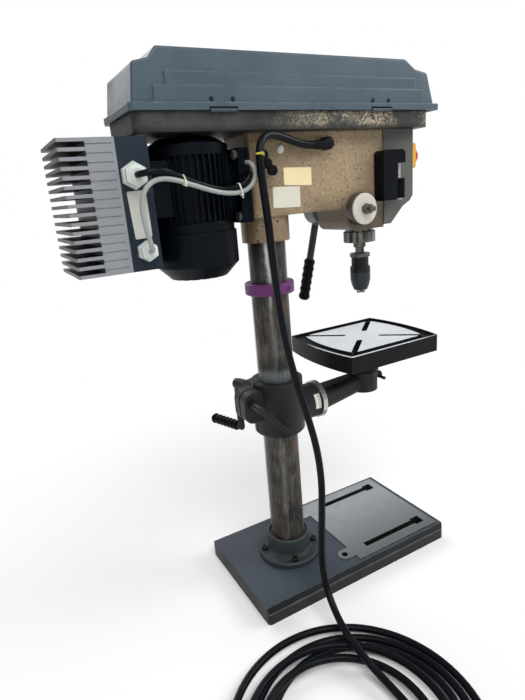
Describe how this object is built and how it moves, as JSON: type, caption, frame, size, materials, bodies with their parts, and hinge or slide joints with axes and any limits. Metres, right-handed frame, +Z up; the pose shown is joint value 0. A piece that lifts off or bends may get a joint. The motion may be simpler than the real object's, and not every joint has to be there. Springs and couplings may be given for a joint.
{
  "type": "bench drill",
  "caption": "Bench drill press on a round column: belt drive under a hinged lid, quill feed with a keyless chuck, crank-lifted tilting table and slotted base.",
  "frame": {"origin": "column axis on the underside of the base", "axes": "+Z up along the column, +Y from the spindle towards the motor, +X towards the feed handles"},
  "size_m": [0.7655, 0.7086, 1.002],
  "materials": {
    "base_enamel": "dark slate enamel, worn",
    "machined_iron": "ground and oiled",
    "flange_black": "black enamel",
    "column_steel": "ground steel with rust streaks",
    "bright_steel": "turned steel",
    "blackened_steel": "blackened",
    "ring_violet": "violet anodised",
    "black_casting": "satin black enamel on cast iron",
    "head_enamel": "hammered bronze enamel, speckled",
    "box_enamel": "satin grey-green enamel",
    "lid_plastic": "moulded slate blue-grey",
    "tray_enamel": "dark brown-grey, worn",
    "black_plastic": "moulded black",
    "black_rubber": "matt",
    "grey_rubber": "matt",
    "ivory_plastic": "yellowed ivory",
    "gland_plastic": "pale grey-green",
    "stop_red": "signal red",
    "stop_yellow": "signal yellow",
    "sink_aluminium": "extruded, light grey",
    "motor_enamel": "black enamel",
    "pulley_aluminium": "die cast"
  },
  "bodies": {
    "machine": {"base_plate": "base_enamel", "column_flange": "flange_black", "flange_screws": "blackened_steel", "column": "column_steel", "stop_ring": "ring_violet", "head_casting": "head_enamel", "spring_housing": "head_enamel", "spring_cap": "ivory_plastic", "return_spring": "bright_steel", "front_switch_box": "box_enamel", "estop_base": "stop_yellow", "guard_hinge_block": "black_plastic", "guard_hinge_pin": "bright_steel", "belt_tray": "tray_enamel", "tray_hinges": "blackened_steel", "pulley_bearing": "bright_steel", "drive_belt": "black_rubber", "cable_boot": "black_rubber", "mains_lead": "black_rubber", "mains_coil": "black_rubber", "mains_plug": "black_plastic"},
    "rack": {"column_rack": "bright_steel"},
    "bracket": {"table_bracket": "black_casting"},
    "lift_gear": {"lift_gear": "bright_steel"},
    "crank": {"crank": "blackened_steel"},
    "crank_grip": {"crank_grip": "black_plastic"},
    "clamp_lever": {"bracket_clamp_lever": "blackened_steel"},
    "arm": {"table_arm": "black_casting", "tilt_scale_ring": "bright_steel"},
    "table": {"work_table": "machined_iron"},
    "table_lock": {"table_lock_lever": "blackened_steel"},
    "feed": {"feed_shaft": "bright_steel", "feed_hub": "bright_steel", "feed_grips": "black_plastic"},
    "quill": {"quill": "bright_steel", "quill_collar": "bright_steel", "spindle_bearings": "bright_steel"},
    "spindle": {"spindle": "bright_steel", "chuck_body": "blackened_steel"},
    "chuck_sleeve": {"chuck_sleeve": "blackened_steel"},
    "jaw_1": {"chuck_jaw_1": "bright_steel"},
    "jaw_2": {"chuck_jaw_2": "bright_steel"},
    "jaw_3": {"chuck_jaw_3": "bright_steel"},
    "spindle_pulley": {"spindle_pulley": "pulley_aluminium"},
    "motor": {"motor_housing": "motor_enamel", "motor_fan_cowl": "motor_enamel", "motor_plate": "black_casting", "motor_bolts": "bright_steel", "inverter_box": "black_plastic", "heat_sink": "sink_aluminium", "cable_glands": "gland_plastic", "control_lead": "grey_rubber", "power_lead": "black_rubber"},
    "rotor": {"motor_rotor": "bright_steel", "motor_pulley": "pulley_aluminium"},
    "lid": {"lid": "lid_plastic", "lid_hinges": "blackened_steel"},
    "estop": {"estop_button": "stop_red"},
    "guard_knuckle": {"guard_knuckle": "black_plastic"},
    "lock_screw": {"rod_lock_screw": "black_plastic"}
  },
  "joints": [
    {"name": "table_swing", "type": "hinge", "parent": "machine", "child": "rack", "pos_m": [0, 0, 0], "axis": [0, 0, 1], "range_deg": [-30, 90]},
    {"name": "table_lift", "type": "slide", "parent": "rack", "child": "bracket", "axis": [0, 0, 1], "range_m": [-0.22, 0.06]},
    {"name": "crank_turn", "type": "hinge", "parent": "bracket", "child": "crank", "pos_m": [0.05342, 0.0184, 0.406], "axis": [0.9455, 0.3256, 0], "range_deg": [-12611, 3443]},
    {"name": "lift_gear_turn", "type": "hinge", "parent": "bracket", "child": "lift_gear", "pos_m": [0.05342, 0.0184, 0.384], "axis": [-0.3256, 0.9455, 0], "range_deg": [-246, 901]},
    {"name": "crank_grip_spin", "type": "hinge", "parent": "crank", "child": "crank_grip", "pos_m": [0.11914, 0.04102, 0.304], "axis": [0.9455, 0.3256, 0], "continuous": true},
    {"name": "clamp_lever_turn", "type": "hinge", "parent": "bracket", "child": "clamp_lever", "pos_m": [-0.03, 0.07, 0.408], "axis": [1, 0, 0], "range_deg": [-45, 30]},
    {"name": "table_tilt", "type": "hinge", "parent": "bracket", "child": "arm", "pos_m": [0, -0.082, 0.371], "axis": [0, 1, 0], "range_deg": [-45, 45]},
    {"name": "table_turn", "type": "hinge", "parent": "arm", "child": "table", "pos_m": [0, -0.218, 0.405], "axis": [0, 0, 1], "continuous": true},
    {"name": "table_lock_turn", "type": "hinge", "parent": "arm", "child": "table_lock", "pos_m": [0, -0.26, 0.3835], "axis": [0, 1, 0], "range_deg": [-60, 90]},
    {"name": "feed_turn", "type": "hinge", "parent": "machine", "child": "feed", "pos_m": [0, -0.1781, 0.749], "axis": [1, 0, 0], "range_deg": [0, 266], "stiffness_Nm_per_rad": 0.6, "springref_deg": -85.94, "deforming": ["return_spring"]},
    {"name": "quill_feed", "type": "slide", "parent": "machine", "child": "quill", "axis": [0, 0, -1], "range_m": [0, 0.065]},
    {"name": "spindle_spin", "type": "hinge", "parent": "quill", "child": "spindle", "pos_m": [0, -0.218, 0.7], "axis": [0, 0, 1], "continuous": true},
    {"name": "chuck_sleeve_turn", "type": "hinge", "parent": "spindle", "child": "chuck_sleeve", "pos_m": [0, -0.218, 0.61], "axis": [0, 0, 1], "range_deg": [-659, 1439]},
    {"name": "spindle_pulley_spin", "type": "hinge", "parent": "machine", "child": "spindle_pulley", "pos_m": [0, -0.218, 0.93], "axis": [0, 0, 1], "continuous": true},
    {"name": "motor_slide", "type": "slide", "parent": "machine", "child": "motor", "axis": [0, 1, 0], "range_m": [-0.008, 0], "deforming": ["drive_belt"]},
    {"name": "motor_spin", "type": "hinge", "parent": "motor", "child": "rotor", "pos_m": [0, 0.137, 0.8], "axis": [0, 0, 1], "continuous": true},
    {"name": "lid_open", "type": "hinge", "parent": "machine", "child": "lid", "pos_m": [-0.0773, 0.099, 0.9165], "axis": [0, -1, 0], "range_deg": [0, 95]},
    {"name": "estop_push", "type": "slide", "parent": "machine", "child": "estop", "axis": [0, 1, 0], "range_m": [0, 0.005]},
    {"name": "guard_knuckle_turn", "type": "hinge", "parent": "machine", "child": "guard_knuckle", "pos_m": [-0.063, -0.2655, 0.78], "axis": [0, 0, 1], "range_deg": [-10, 100]},
    {"name": "lock_screw_turn", "type": "hinge", "parent": "machine", "child": "lock_screw", "pos_m": [-0.06, 0.022, 0.839], "axis": [1, 0, 0], "range_deg": [-180, 90]},
    {"name": "jaw_1_slide", "type": "slide", "parent": "spindle", "child": "jaw_1", "axis": [0, 0.1736, 0.9848], "range_m": [-0.0055, 0.012]},
    {"name": "jaw_2_slide", "type": "slide", "parent": "spindle", "child": "jaw_2", "axis": [-0.1504, -0.0868, 0.9848], "range_m": [-0.0055, 0.012]},
    {"name": "jaw_3_slide", "type": "slide", "parent": "spindle", "child": "jaw_3", "axis": [0.1504, -0.0868, 0.9848], "range_m": [-0.0055, 0.012]}
  ],
  "couplings": [
    {"joint": "crank_turn", "follows": "table_lift", "rad_per_m": 1000},
    {"joint": "lift_gear_turn", "follows": "table_lift", "rad_per_m": -71.429},
    {"joint": "quill_feed", "follows": "feed_turn", "m_per_rad": 0.014},
    {"joint": "spindle_spin", "follows": "motor_spin", "ratio": 0.81818},
    {"joint": "spindle_pulley_spin", "follows": "motor_spin", "ratio": 0.81818},
    {"joint": "jaw_1_slide", "follows": "chuck_sleeve_turn", "m_per_rad": 0.00047746},
    {"joint": "jaw_2_slide", "follows": "chuck_sleeve_turn", "m_per_rad": 0.00047746},
    {"joint": "jaw_3_slide", "follows": "chuck_sleeve_turn", "m_per_rad": 0.00047746}
  ]
}
